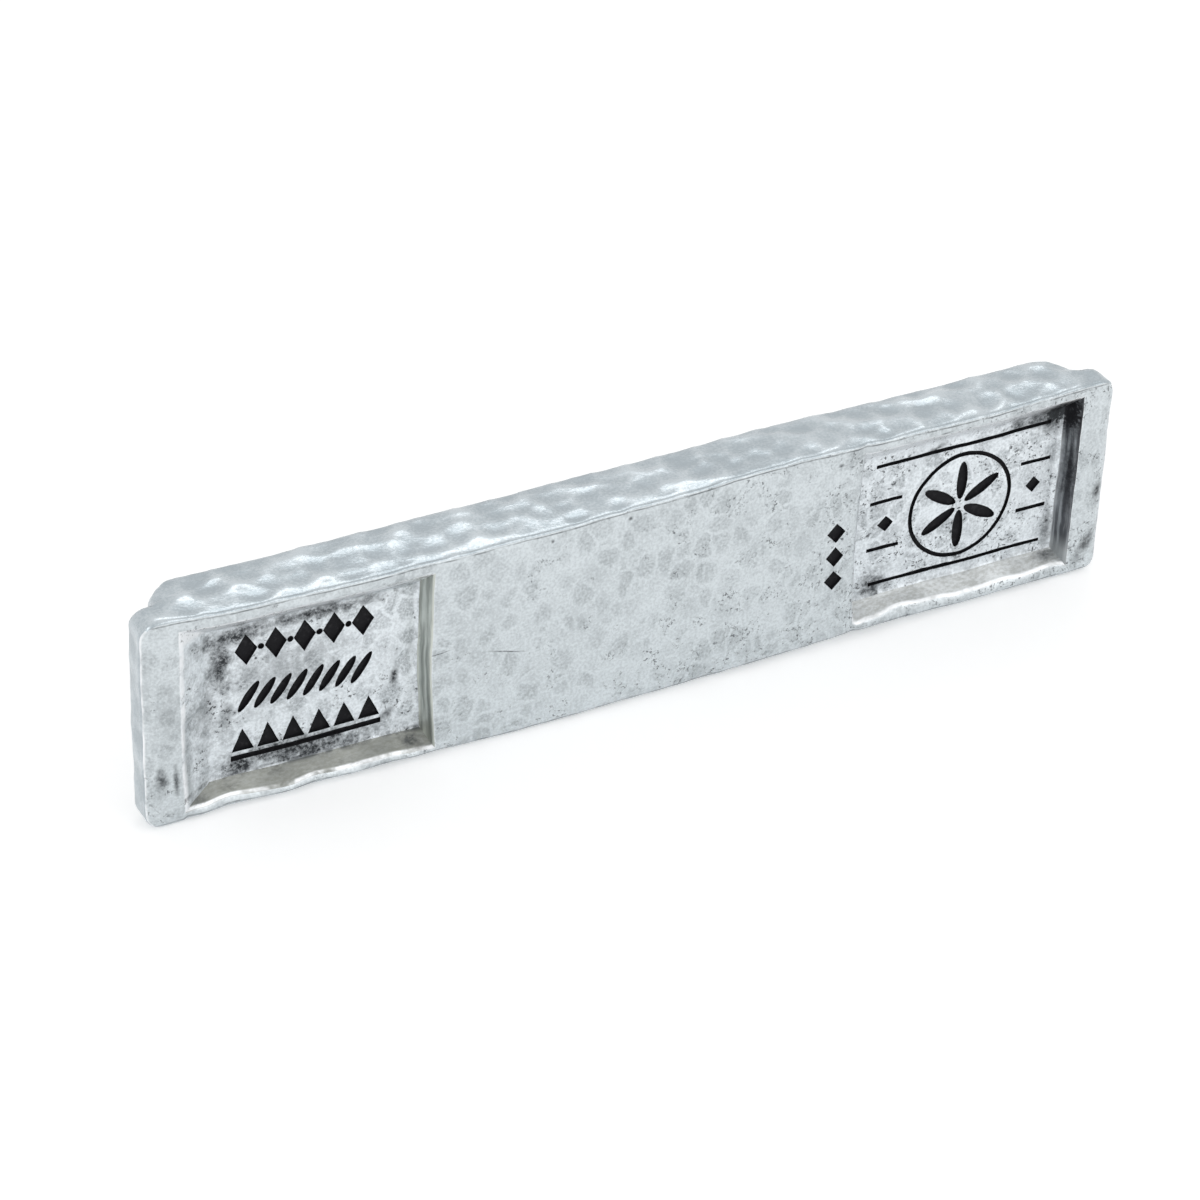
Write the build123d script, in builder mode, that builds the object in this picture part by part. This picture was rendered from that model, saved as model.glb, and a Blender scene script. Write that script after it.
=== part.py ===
"""A small cast tin ingot that stands on its long side.

One solid casting: a long bar with a lug at each end, ends that slope in behind the lugs,
a face that is slightly crowned along its length, and a sunk panel near each end of that face.
Its top side is uneven along its length, as hammering left it.

Frame, in millimetres: +X runs along the bar, the face looks towards -Y and +Z is up.
The origin is under the middle of the bar, on the surface that it stands on.
"""

from build123d import *

import os
from math import asin, cos, sin

# Bar
length = 100.0  # from lug end to lug end
width = 21.5  # the bar's height, because it stands on its long side
end_thickness = 6.9
face_crown = 0.75  # how far the middle of the face stands in front of its two ends

# How high the uneven top side stands above or below the width, at even steps from the left end
top_waves = (0.15, -0.33, -0.35, -0.25, 0.0, 0.55, 0.25, 0.0, 0.1)

# Ends
lug_thickness = 3.5
lug_length = 1.9
end_slope_run = 2.0  # how far the end slopes in between the lug and the back

# Rounding of the bar
lug_corner_radius = 1.4  # the lugs' corners, as the face shows them
lug_root_radius = 0.6  # in the angle between a lug and the end slope
end_corner_radius = 2.0  # the upright corner between the end slope and the back
back_edge_radius = 1.0  # the long edges of the back
face_edge_radius = 0.35

# Sunk panels: a run is how far a wall slopes in on its way down to the floor
panel_depth = 1.9
panel_inner_run = 0.5  # the wall towards the middle of the bar is almost square
panel_top_run = 1.9
panel_bottom_run = 1.5
panel_corner_radius = 0.8
panel_floor_radius = 0.4  # in the angle between the walls and the floor
panel_rim_radius = 0.25

left_panel_length = 24.2
left_panel_end_margin = 3.5  # from the end of the bar to the rim
left_panel_top_margin = 1.3
left_panel_bottom_margin = 0.9
left_panel_end_run = 3.2  # this end wall is a long ramp

right_panel_length = 24.3
right_panel_end_margin = 3.7
right_panel_top_margin = 1.1
right_panel_bottom_margin = 1.4
right_panel_end_run = 0.9
right_panel_inner_bow = 0.45  # how far the inner wall bows out towards the middle of the bar

# Places worked out from the sizes, in the bar's plan
half_length = length / 2
thickness = end_thickness + face_crown
face_y = -thickness / 2  # the face at the middle of the bar
face_end_y = face_y + face_crown
back_y = thickness / 2
lug_back_y = face_end_y + lug_thickness
lug_root_x = half_length - lug_length
slope_end_x = lug_root_x - end_slope_run
wave_step = length / (len(top_waves) - 1)
crown_radius = (half_length**2 + face_crown**2) / (2 * face_crown)


def face_plane(distance):
    """The plane that touches the crowned face at this distance along the bar, at its lower edge."""
    turn = asin(distance / crown_radius)
    return Plane(
        origin=(distance, face_y + crown_radius * (1 - cos(turn)), 0),
        x_dir=(cos(turn), sin(turn), 0),
        z_dir=(sin(turn), -cos(turn), 0),
    )


# Each panel: where its middle is, its length on the rim, its margins, its end wall's run,
# its inner wall's bow, and which way the middle of the bar lies from it
left_panel = (
    left_panel_end_margin + left_panel_length / 2 - half_length,
    left_panel_length,
    left_panel_bottom_margin,
    left_panel_top_margin,
    left_panel_end_run,
    0,
    1,
)
right_panel = (
    half_length - right_panel_end_margin - right_panel_length / 2,
    right_panel_length,
    right_panel_bottom_margin,
    right_panel_top_margin,
    right_panel_end_run,
    right_panel_inner_bow,
    -1,
)

with BuildPart() as ingot:
    # The bar with its lugs, from a profile in plan
    with BuildSketch(Plane.XY) as profile:
        with BuildLine():
            ThreePointArc((-half_length, face_end_y), (0, face_y), (half_length, face_end_y))
            Polyline(
                (half_length, face_end_y),
                (half_length, lug_back_y),
                (lug_root_x, lug_back_y),
                (slope_end_x, back_y),
                (-slope_end_x, back_y),
                (-lug_root_x, lug_back_y),
                (-half_length, lug_back_y),
                (-half_length, face_end_y),
            )
        make_face()
        fillet(profile.vertices().group_by(Axis.Y)[-1], end_corner_radius)
        behind_lugs = profile.vertices().group_by(Axis.Y)[1]
        fillet(behind_lugs.sort_by(Axis.X)[1:-1], lug_root_radius)
    extrude(amount=2 * width)

    # The uneven top side, from its line as the face shows it, which runs on past both ends
    with BuildSketch(Plane.XZ):
        with BuildLine():
            first_x = -half_length - wave_step
            heights = (width, *(width + wave for wave in top_waves), width)
            top_line = Spline([(first_x + step * wave_step, height) for step, height in enumerate(heights)])
            Polyline(top_line @ 1, (-first_x, -width), (first_x, -width), top_line @ 0)
        make_face()
    extrude(amount=thickness, both=True, mode=Mode.INTERSECT)

    # The rounding of the bar
    for end in (ingot.faces().sort_by(Axis.X)[0], ingot.faces().sort_by(Axis.X)[-1]):
        end_edges = end.edges().sort_by(Axis.Z)
        fillet((end_edges[0], end_edges[-1]), lug_corner_radius)
    back_edges = ingot.faces().sort_by(Axis.Y)[-1].edges().sort_by(Axis.Z)
    fillet((back_edges[0], back_edges[-1]), back_edge_radius)
    fillet(ingot.faces().sort_by(Axis.Y)[0].outer_wire().edges(), face_edge_radius)

    # The sunk panels, cut from above the face down to their floors
    for middle, panel_length, bottom_margin, top_margin, end_run, bow, inward in (left_panel, right_panel):
        rim_plane = face_plane(middle)
        for depth in (-panel_depth / 2, panel_depth):
            share = depth / panel_depth
            inner = inward * (panel_length / 2 - share * panel_inner_run)
            outer = inward * (share * end_run - panel_length / 2)
            bottom = bottom_margin + share * panel_bottom_run
            top = width - top_margin - share * panel_top_run
            with BuildSketch(rim_plane.offset(-depth)) as opening:
                with BuildLine():
                    Polyline((inner, bottom), (outer, bottom), (outer, top), (inner, top))
                    Spline((inner, top), (inner + inward * bow, (bottom + top) / 2), (inner, bottom))
                make_face()
                fillet(opening.vertices(), panel_corner_radius)
        loft(mode=Mode.SUBTRACT)
        floor_middle = rim_plane.from_local_coords((0, width / 2, -panel_depth))
        floor = ingot.faces().sort_by_distance(floor_middle)[0]
        fillet(floor.edges(), panel_floor_radius)
    face = ingot.faces().sort_by(Axis.Y)[0]
    fillet(face.inner_wires().edges(), panel_rim_radius)
ingot.part.label = "ingot"

os.makedirs("parts", exist_ok=True)
export_step(ingot.part, "parts/ingot.step")
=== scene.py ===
# The looks of a small cast tin ingot: a hammered bar with two sunk panels, on its long side.
from math import cos, exp, floor, pi, radians, sin, sqrt

import bmesh
import bpy
from mathutils import Matrix, Vector, noise


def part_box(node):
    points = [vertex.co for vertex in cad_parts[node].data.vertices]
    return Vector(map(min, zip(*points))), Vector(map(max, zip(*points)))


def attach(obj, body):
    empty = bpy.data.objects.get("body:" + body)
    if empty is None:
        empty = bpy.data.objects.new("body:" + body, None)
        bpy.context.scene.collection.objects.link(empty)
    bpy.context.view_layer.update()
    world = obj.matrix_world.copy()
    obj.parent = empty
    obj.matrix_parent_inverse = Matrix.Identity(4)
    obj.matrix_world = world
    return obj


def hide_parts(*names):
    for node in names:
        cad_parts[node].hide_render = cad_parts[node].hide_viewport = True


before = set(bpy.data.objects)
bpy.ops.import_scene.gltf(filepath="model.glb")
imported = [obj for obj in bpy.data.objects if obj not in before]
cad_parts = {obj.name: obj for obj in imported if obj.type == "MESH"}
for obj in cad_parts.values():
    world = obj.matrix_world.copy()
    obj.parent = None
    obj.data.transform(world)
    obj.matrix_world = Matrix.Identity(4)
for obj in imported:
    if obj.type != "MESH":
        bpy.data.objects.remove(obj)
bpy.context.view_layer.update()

low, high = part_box("ingot")
noise.seed_set(7)  # so that every run makes the same bar
MM = 0.001

# The bar, from the frame's box and the sizes of its casting
LENGTH = high.x - low.x
WIDTH = 21.5 * MM
FACE_CROWN = 0.75 * MM
FACE_END_Y = low.y + FACE_CROWN
BACK_Y = high.y
LUG_THICKNESS = 3.5 * MM
LUG_LENGTH = 1.9 * MM
LUG_CORNER_RADIUS = 1.7 * MM
LUG_BACK_Y = FACE_END_Y + LUG_THICKNESS
END_SLOPE_RUN = 2.0 * MM
ROOT_X = LENGTH / 2 - LUG_LENGTH
FACE_EDGE_RADIUS = 0.35 * MM
BACK_EDGE_RADIUS = 0.8 * MM
BACK_CORNER_RADIUS = 2.0 * MM  # the upright corner between the end slope and the back
BODY_EDGE_MARGIN = 2.5 * MM  # the width of the blocked-out back's outer strips
CELL = 0.34 * MM  # the finished mesh's cell
SLACK = 0.01 * MM  # within which two places count as one

# The sunk panels: the rim's left, right, bottom and top, then how far each wall slopes in
PANEL_DEPTH = 1.9 * MM
PANEL_INSET = 0.4 * MM  # of the quad that becomes the floor, before it is pushed in
PANEL_FLOOR_Y = FACE_END_Y + PANEL_DEPTH
PANEL_RIM_RADIUS = 0.25 * MM
PANEL_FLOOR_RADIUS = 0.4 * MM
CRACK_RISE = 0.2 * MM  # of the dark line above the foot of each lower wall
PANELS = {
    "left": {
        "rim": (-46.5 * MM, -22.3 * MM, 0.9 * MM, 20.2 * MM),
        "runs": (3.2 * MM, 0.5 * MM, 1.5 * MM, 1.9 * MM),
    },
    "right": {
        "rim": (22.0 * MM, 46.3 * MM, 1.4 * MM, 20.4 * MM),
        "runs": (0.5 * MM, 0.9 * MM, 1.5 * MM, 1.9 * MM),
    },
}

# The waves of the long edges, in millimetres, at even steps from the left end to the right
TOP_EDGE_WAVE = [0.15, -0.33, -0.35, -0.25, 0.0, 0.55, 0.25, 0.0, 0.1]
BOTTOM_EDGE_WAVE = [0.0, 0.35, 0.35, 0.1, 0.25, 0.4, 0.6, 0.35, 0.1]
BACK_EDGE_SHARE = 0.3  # how much of the top edge's waves the back has

# How hand work left the sides and the face
TOP_CROWN = 0.2 * MM  # how far the middle of the top side stands above its long edges
TOP_DROP = 0.6 * MM  # how far the top side falls at the ends of the body, behind the lugs
TOP_DROP_REACH = 3.5 * MM
ROLL_OFF = 0.35 * MM  # how far the face falls back at its ends and its lower edge
ROLL_OFF_REACH = 1.5 * MM
DRIFT, DRIFT_LENGTH = 0.13 * MM, 5 * MM  # how far the surface strays, and over what length
TREMBLE, TREMBLE_LENGTH = 0.035 * MM, 0.9 * MM  # the same at a finer scale
LEVEL_FOOT = 3 * MM  # the height under which the surface strays less up and down

# How it left the panels' rims and walls
PANEL_BOW = 0.45 * MM  # how far the middle of each inner wall lies to the left of its ends
PANEL_BOW_REACH = 4 * MM
RIM_WAVE = 0.5 * MM  # how uneven the lower rims are
RIM_WAVE_LENGTH = 3.6 * MM
RIM_WAVE_REACH = 0.9 * MM  # above and below the rim
BEAD_DROP = 0.45 * MM  # how far the strip under a panel falls back towards the panel's rim
BEAD_END = 1.5 * MM  # the length over which the bead starts and ends
LIP_DROP = 0.25 * MM  # how far the face falls back towards the right panel's inner rim
LIP_REACH = 1.4 * MM

# Hammering: how far the blows lie apart along and across a side, and how deep they are
BLOW_SPREAD = (2.5 * MM, 2.0 * MM)
BLOW_REACH = 0.9  # how far a dent reaches, as a share of the spread
WEAKEST_BLOW = 0.6  # as a share of the strongest
BLOW_STRAY, BLOW_STRAY_LENGTH = 0.6 * MM, 2.5 * MM  # how crooked the dents' outlines are
SWELL, SWELL_LENGTH = 0.3, 6 * MM  # slow unevenness, as a share of the dents' depth
SIDE_DENTS = 0.34 * MM
FACE_DENTS = 0.04 * MM
FACE_MARGIN = 0.9 * MM  # within the face's outline, where the deep dents fade out
EDGE_DENTS, EDGE_REACH = 0.4, 1.3 * MM  # the share of their depth that the long edges get
END_DENTS, END_REACH = 0.35, 2 * MM  # and the share that the ends get

# The sunk marks, filled with black
MARK_DEPTH = 0.3 * MM
MARK_CLEARANCE = 0.3 * MM  # how far their cutters stand out of the surface

# The finishes, in the order of the piece's material slots
FINISHES = [
    "hammered",
    "face",
    "panel_floor",
    "panel_ledge",
    "grimy_wall",
    "dark_wall",
    "black_fill",
]


def slice_through(bm, point, normal):
    """Cut every face that the plane meets."""
    whole = bm.verts[:] + bm.edges[:] + bm.faces[:]
    bmesh.ops.bisect_plane(bm, geom=whole, plane_co=point, plane_no=normal)


def bevel(bm, edges, radius, segments):
    """Round the edges."""
    bmesh.ops.bevel(
        bm, geom=edges, offset=radius, segments=segments, profile=0.5, affect="EDGES", material=-1
    )


def near(a, b):
    """True for two measures that are the same but for rounding."""
    return abs(a - b) < SLACK


def sharp_edges(bm, low_y, high_y):
    """The edges with a real corner in them whose two ends lie between two depths."""
    return [
        edge
        for edge in bm.edges
        if edge.calc_face_angle(0) > radians(15)
        and all(low_y - SLACK < vert.co.y < high_y + SLACK for vert in edge.verts)
    ]


def block_out_bar(bm):
    """A plate as long as the lugs reach, and the body that stands behind it with sloping ends."""
    bmesh.ops.create_cube(bm, size=1.0)
    bmesh.ops.scale(bm, vec=(LENGTH, LUG_THICKNESS, WIDTH), verts=bm.verts)
    middle = (0, FACE_END_Y + LUG_THICKNESS / 2, WIDTH / 2)
    bmesh.ops.translate(bm, vec=middle, verts=bm.verts)
    rims = [panel["rim"] for panel in PANELS.values()]
    for x in [-ROOT_X, ROOT_X] + [x for rim in rims for x in rim[:2]]:
        slice_through(bm, (x, 0, 0), (1, 0, 0))
    for side in (2, 3):
        height = sum(rim[side] for rim in rims) / len(rims)
        slice_through(bm, (0, 0, height), (0, 0, 1))

    back = [
        face
        for face in bm.faces
        if face.normal.y > 0.9 and abs(face.calc_center_median().x) < ROOT_X
    ]
    grown = bmesh.ops.extrude_face_region(bm, geom=back)["geom"]
    bmesh.ops.delete(bm, geom=back, context="FACES")
    body = [part for part in grown if isinstance(part, bmesh.types.BMVert)]
    bmesh.ops.translate(bm, vec=(0, BACK_Y - LUG_BACK_Y, 0), verts=body)
    bmesh.ops.scale(bm, vec=((ROOT_X - END_SLOPE_RUN) / ROOT_X, 1, 1), verts=body)
    for vert in body:
        if not near(vert.co.z, 0) and not near(vert.co.z, WIDTH):
            low_down = vert.co.z < WIDTH / 2
            vert.co.z = BODY_EDGE_MARGIN if low_down else WIDTH - BODY_EDGE_MARGIN


def sink_panel(bm, panel):
    """Inset the panel's quad in the face and push its floor in."""
    left, right, bottom, top = panel["rim"]
    left_run, right_run, bottom_run, top_run = panel["runs"]
    middle = Vector(((left + right) / 2, FACE_END_Y, (bottom + top) / 2))
    face = min(bm.faces, key=lambda face: (face.calc_center_median() - middle).length)
    for vert in face.verts:
        vert.co.z = bottom if vert.co.z < middle.z else top
    bmesh.ops.inset_individual(bm, faces=[face], thickness=PANEL_INSET)
    for vert in face.verts:
        vert.co.x = left + left_run if vert.co.x < middle.x else right - right_run
        vert.co.z = bottom + bottom_run if vert.co.z < middle.z else top - top_run
        vert.co.y += PANEL_DEPTH


def assign_finishes(bm):
    """Give the blocked-out bar's face, and the panels' floors and walls, their finishes."""
    for face in bm.faces:
        middle = face.calc_center_median()
        if face.normal.y > -0.1 or middle.y > PANEL_FLOOR_Y + 0.1 * MM:
            continue
        if near(middle.y, FACE_END_Y):
            finish = "face"
        elif face.normal.x < -0.5:
            finish = "dark_wall" if middle.x > 0 else "grimy_wall"
        elif face.normal.z > 0.5:
            finish = "panel_ledge"
        else:
            finish = "panel_floor"
        face.material_index = FINISHES.index(finish)


def round_edges(bm):
    """Round the panels' floors and rims, the face's outline, and all that is behind the face."""
    bevel(bm, sharp_edges(bm, PANEL_FLOOR_Y, PANEL_FLOOR_Y), PANEL_FLOOR_RADIUS, 3)
    on_face = sharp_edges(bm, FACE_END_Y, FACE_END_Y)
    outline = [
        edge for edge in on_face if any(abs(face.normal.y) < 0.1 for face in edge.link_faces)
    ]
    rims = [edge for edge in on_face if edge not in outline]
    bevel(bm, rims, PANEL_RIM_RADIUS, 2)
    bevel(bm, outline, FACE_EDGE_RADIUS, 3)
    bevel(bm, sharp_edges(bm, LUG_BACK_Y, BACK_Y), BACK_EDGE_RADIUS, 4)


def edge_rings(bm):
    """The edges in rings, each of which runs across a row of four-sided faces."""
    rings = []
    seen = set()
    for start in bm.edges:
        if start in seen:
            continue
        seen.add(start)
        ring = [start]
        for edge in ring:
            for loop in edge.link_loops:
                across = loop.link_loop_next.link_loop_next.edge
                if len(loop.face.verts) == 4 and across not in seen:
                    seen.add(across)
                    ring.append(across)
        rings.append(ring)
    return rings


def divide_to_cells(bm):
    """Cut every row of faces into cells of about one size, the widest rows first."""
    while True:
        wanted = {}
        for ring in edge_rings(bm):
            widest = max(edge.calc_length() for edge in ring)
            wanted.setdefault(round(widest / CELL) - 1, []).extend(ring)
        cuts = max(wanted)
        if cuts < 1:
            return
        bmesh.ops.subdivide_edges(bm, edges=wanted[cuts], cuts=cuts, use_grid_fill=True)


def turn_upright(bm, verts, turn):
    """Stand a flat outline up so that it faces the bar, after turning it in its own plane."""
    upright = Matrix.Rotation(radians(90), 3, "X") @ Matrix.Rotation(radians(turn), 3, "Z")
    bmesh.ops.rotate(bm, verts=verts, cent=(0, 0, 0), matrix=upright)


def polygon(bm, surface_y, x, z, sides, size, turn=0.0, lean=0.0):
    """A cutter for a mark: a prism through the surface, with its size along the bar and up it."""
    verts = bmesh.ops.create_circle(bm, cap_ends=True, segments=sides, radius=0.5)["verts"]
    turn_upright(bm, verts, turn)
    bmesh.ops.scale(bm, vec=(size[0], 1, size[1]), verts=verts)
    leaning = Matrix.Rotation(radians(lean), 3, "Y")
    bmesh.ops.rotate(bm, verts=verts, cent=(0, 0, 0), matrix=leaning)
    faces = verts[0].link_faces[:]
    grown = bmesh.ops.extrude_face_region(bm, geom=faces)["geom"]
    far = [part for part in grown if isinstance(part, bmesh.types.BMVert)]
    bmesh.ops.translate(bm, vec=(0, MARK_DEPTH + MARK_CLEARANCE, 0), verts=far)
    bmesh.ops.translate(bm, vec=(x, surface_y - MARK_CLEARANCE, z), verts=verts + far)


def lozenge(bm, surface_y, x, z, size):
    """A cutter for a lozenge, with its size from corner to corner."""
    polygon(bm, surface_y, x, z, 4, size)


def bar(bm, surface_y, x, z, size):
    """A cutter for an oblong, with its length and width."""
    polygon(bm, surface_y, x, z, 4, (size[0] * sqrt(2), size[1] * sqrt(2)), turn=45)


def pellet(bm, surface_y, x, z, size):
    """A cutter for a small round."""
    polygon(bm, surface_y, x, z, 12, (size, size))


def leaf(bm, surface_y, x, z, size, lean):
    """A cutter for an oval that leans to one side."""
    polygon(bm, surface_y, x, z, 16, size, lean=lean)


def circle(bm, surface_y, x, z, radius, line):
    """A cutter for a circle: the section of its line, spun round its middle."""
    made = bmesh.ops.create_grid(bm, x_segments=1, y_segments=1, size=0.5)
    verts = made["verts"]
    bmesh.ops.scale(bm, vec=(line, MARK_DEPTH + MARK_CLEARANCE, 1), verts=verts)
    middle_y = surface_y + (MARK_DEPTH - MARK_CLEARANCE) / 2
    bmesh.ops.translate(bm, vec=(x + radius, middle_y, z), verts=verts)
    profile = [edge for edge in bm.edges if edge.verts[0] in verts]
    bmesh.ops.delete(bm, geom=verts[0].link_faces[:], context="FACES_ONLY")
    bmesh.ops.spin(
        bm,
        geom=verts + profile,
        cent=(x, middle_y, z),
        axis=(0, 1, 0),
        angle=2 * pi,
        steps=64,
        use_merge=True,
    )


def in_a_row(middle, count, step):
    """A number of places at even steps, as many on each side of a middle."""
    return [middle + (number - (count - 1) / 2) * step for number in range(count)]


def left_bands(bm):
    """In the left panel: lozenges with pellets between them, leaning leaves, and triangles."""
    y = PANEL_FLOOR_Y
    middle = -34.0
    lozenge_step = 2.8
    lozenge_z, leaf_z, triangle_z, line_z = (15.5 * MM, 10.5 * MM, 5.6 * MM, 4.1 * MM)
    lozenges = in_a_row(middle, 5, lozenge_step)
    for x in lozenges:
        lozenge(bm, y, x * MM, lozenge_z, (2.1 * MM, 3.3 * MM))
        if x < lozenges[-1]:
            pellet(bm, y, (x + lozenge_step / 2) * MM, lozenge_z, 0.6 * MM)
    for x in in_a_row(middle, 8, 1.55):
        leaf(bm, y, x * MM, leaf_z, (0.85 * MM, 3.4 * MM), lean=35)
    for x in in_a_row(middle, 6, 2.45):
        polygon(bm, y, x * MM, triangle_z, 3, (2.45 * MM, 3.2 * MM))
    bar(bm, y, middle * MM, line_z, (14.6 * MM, 0.5 * MM))


def face_lozenges(bm):
    """On the face beside the right panel: three lozenges above each other."""
    for z in in_a_row(10.1, 3, 2.6):
        lozenge(bm, FACE_END_Y, 19.2 * MM, z * MM, (2.2 * MM, 2.1 * MM))


def rosette(bm):
    """In the right panel: a circle with six leaves in it, between lozenges and plain lines."""
    y = PANEL_FLOOR_Y
    line = 0.35 * MM
    centre_x, centre_z = 34.3 * MM, 10.7 * MM
    circle(bm, y, centre_x, centre_z, 5.6 * MM, 0.4 * MM)
    leaves = 6
    for number in range(leaves):
        angle = number * 2 * pi / leaves
        x = centre_x + sin(angle) * 2.7 * MM
        z = centre_z + cos(angle) * 2.7 * MM
        leaf(bm, y, x, z, (1.2 * MM, 4.2 * MM), lean=number * 360 / leaves)
    for side in (-1, 1):
        x = centre_x + side * 8.4 * MM
        lozenge(bm, y, x, centre_z, (1.7 * MM, 1.7 * MM))
        for height in (-2.6, 2.6):
            bar(bm, y, x, centre_z + height * MM, (3.4 * MM, line))
    for height in (4.1, 17.3):
        bar(bm, y, centre_x, height * MM, (19.5 * MM, line))


def mesh_object(name, bm, materials=()):
    """A new object made from a bmesh, which is used up."""
    mesh = bpy.data.meshes.new(name)
    bm.to_mesh(mesh)
    bm.free()
    for material in materials:
        mesh.materials.append(material)
    made = bpy.data.objects.new(name, mesh)
    bpy.context.scene.collection.objects.link(made)
    return made


def carve_marks(bm, materials):
    """Sink the marks into the unbent bar, and hand back the carved bar."""
    tools = bmesh.new()
    left_bands(tools)
    face_lozenges(tools)
    rosette(tools)
    bmesh.ops.recalc_face_normals(tools, faces=tools.faces)
    for face in tools.faces:
        face.material_index = FINISHES.index("black_fill")
    blank = mesh_object("blank", bm, materials)
    cutter = mesh_object("cutter", tools, materials)
    carving = blank.modifiers.new("carving", "BOOLEAN")
    carving.operation = "DIFFERENCE"
    carving.solver = "EXACT"
    carving.material_mode = "INDEX"
    carving.object = cutter
    depsgraph = bpy.context.evaluated_depsgraph_get()
    carved = bmesh.new()
    carved.from_mesh(blank.evaluated_get(depsgraph).to_mesh())
    for spare in (blank, cutter):
        bpy.data.meshes.remove(spare.data)
    return carved


def round_lug_corners(bm):
    """Turn the square corners of the lugs, as the face shows them, into quarter circles."""
    inner_x = LENGTH / 2 - LUG_CORNER_RADIUS
    inner_z = WIDTH / 2 - LUG_CORNER_RADIUS
    for vert in bm.verts:
        out_x = abs(vert.co.x) - inner_x
        out_z = abs(vert.co.z - WIDTH / 2) - inner_z
        if out_x <= 0 or out_z <= 0 or vert.co.y > LUG_BACK_Y + BACK_EDGE_RADIUS:
            continue
        shrink = max(out_x, out_z) / sqrt(out_x**2 + out_z**2)
        vert.co.x = (inner_x + out_x * shrink) * (1 if vert.co.x > 0 else -1)
        vert.co.z = WIDTH / 2 + (inner_z + out_z * shrink) * (1 if vert.co.z > WIDTH / 2 else -1)


def round_back_corners(bm):
    """Round the body's upright corners behind the lugs, as a plan of the bar shows them."""
    radius = BACK_CORNER_RADIUS
    for vert in bm.verts:
        slope = END_SLOPE_RUN * max(0.0, vert.co.y - LUG_BACK_Y) / (BACK_Y - LUG_BACK_Y)
        out_x = abs(vert.co.x) + slope - (ROOT_X - radius)
        out_y = vert.co.y - (BACK_Y - radius)
        if out_x <= 0 or out_y <= 0:
            continue
        shrink = max(out_x, out_y) / sqrt(out_x**2 + out_y**2)
        side = 1 if vert.co.x > 0 else -1
        vert.co.y = BACK_Y - radius + out_y * shrink
        slope = END_SLOPE_RUN * max(0.0, vert.co.y - LUG_BACK_Y) / (BACK_Y - LUG_BACK_Y)
        vert.co.x = side * (ROOT_X - radius + out_x * shrink - slope)


def smooth(value):
    """A smooth step from 0 to 1."""
    value = min(1.0, max(0.0, value))
    return value * value * (3 - 2 * value)


def along_bar(x, heights):
    """A smooth curve through heights at even steps from the left end to the right."""
    place = (x / LENGTH + 0.5) * (len(heights) - 1)
    place = min(max(place, 0.0), len(heights) - 1.001)
    step = floor(place)
    blend = (1 - cos((place - step) * pi)) / 2
    return (heights[step] * (1 - blend) + heights[step + 1] * blend) * MM


def rim_wave(place):
    """How far a point is carried by the wavy, rounded strip under its panel."""
    for panel in PANELS.values():
        left, right, bottom = panel["rim"][:3]
        if left < place.x < right and place.y < PANEL_FLOOR_Y and place.z < WIDTH / 2:
            from_end = smooth(min(place.x - left, right - place.x) / BEAD_END)
            nearness = exp(-(((place.z - bottom) / RIM_WAVE_REACH) ** 2))
            wave = noise.noise_vector(Vector((place.x / RIM_WAVE_LENGTH, 0.5, bottom / MM)))
            wave = wave * RIM_WAVE * nearness
            to_front = 1 - (place.y - FACE_END_Y) / PANEL_DEPTH
            wave.y += BEAD_DROP * smooth(place.z / bottom - 0.25) * to_front * from_end
            return wave
    return Vector()


def bend_by_hand(bm):
    """Crown the face, and make the sides and the rims as uneven as hand work leaves them."""
    unbent = bm.verts.layers.float_vector.new("unbent")
    inner_walls = (PANELS["left"]["rim"][1], PANELS["right"]["rim"][0])
    for vert in bm.verts:
        x, y, z = vert.co
        vert[unbent] = vert.co / MM
        forward = (BACK_Y - y) / (BACK_Y - FACE_END_Y)
        vert.co.y -= FACE_CROWN * (1 - (2 * x / LENGTH) ** 2) * forward
        share = z / WIDTH
        top = along_bar(x, TOP_EDGE_WAVE) * (BACK_EDGE_SHARE + (1 - BACK_EDGE_SHARE) * forward)
        top += TOP_CROWN * (1 - (2 * forward - 1) ** 2)
        near_end = max(0.0, 1 - (ROOT_X - abs(x)) / TOP_DROP_REACH)
        top -= TOP_DROP * near_end**2 * smooth((y - LUG_BACK_Y) / MM + 0.5)
        bottom = along_bar(x, BOTTOM_EDGE_WAVE) * forward
        vert.co.z += top * share**2 + bottom * (1 - share) ** 2
        inset = max(0.0, min(LENGTH / 2 - abs(x), z))
        to_front = max(0.0, 1 - (y - FACE_END_Y) / PANEL_DEPTH)
        vert.co.y += ROLL_OFF * max(0.0, 1 - inset / ROLL_OFF_REACH) ** 2 * to_front
        from_lip = abs(x - inner_walls[1]) / LIP_REACH
        vert.co.y += LIP_DROP * max(0.0, 1 - from_lip) ** 2 * to_front
        wave = rim_wave(Vector((x, y, z)))
        vert.co.y += wave.y
        vert.co.z += wave.z
        away = min(abs(x - wall) for wall in inner_walls)
        bow = max(0.0, 1 - away / PANEL_BOW_REACH) * (1 - (2 * share - 1) ** 2)
        vert.co.x -= PANEL_BOW * bow
        place = Vector((x, y, z))
        drift = noise.noise_vector(place / DRIFT_LENGTH) * DRIFT
        tremble = noise.noise_vector(place / TREMBLE_LENGTH) * TREMBLE
        vert.co.x += drift.x + tremble.x
        vert.co.z += (drift.z + tremble.z) * min(1.0, z / LEVEL_FOOT)


def face_share(place):
    """1 in the unbent bar's face and its panels, 0 round the face's outline and behind it."""
    if place.y > PANEL_FLOOR_Y + 2 * MARK_DEPTH:
        return 0.0
    inset = min(LENGTH / 2 - abs(place.x), place.z, WIDTH - place.z)
    return smooth(inset / FACE_MARGIN)


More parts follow.
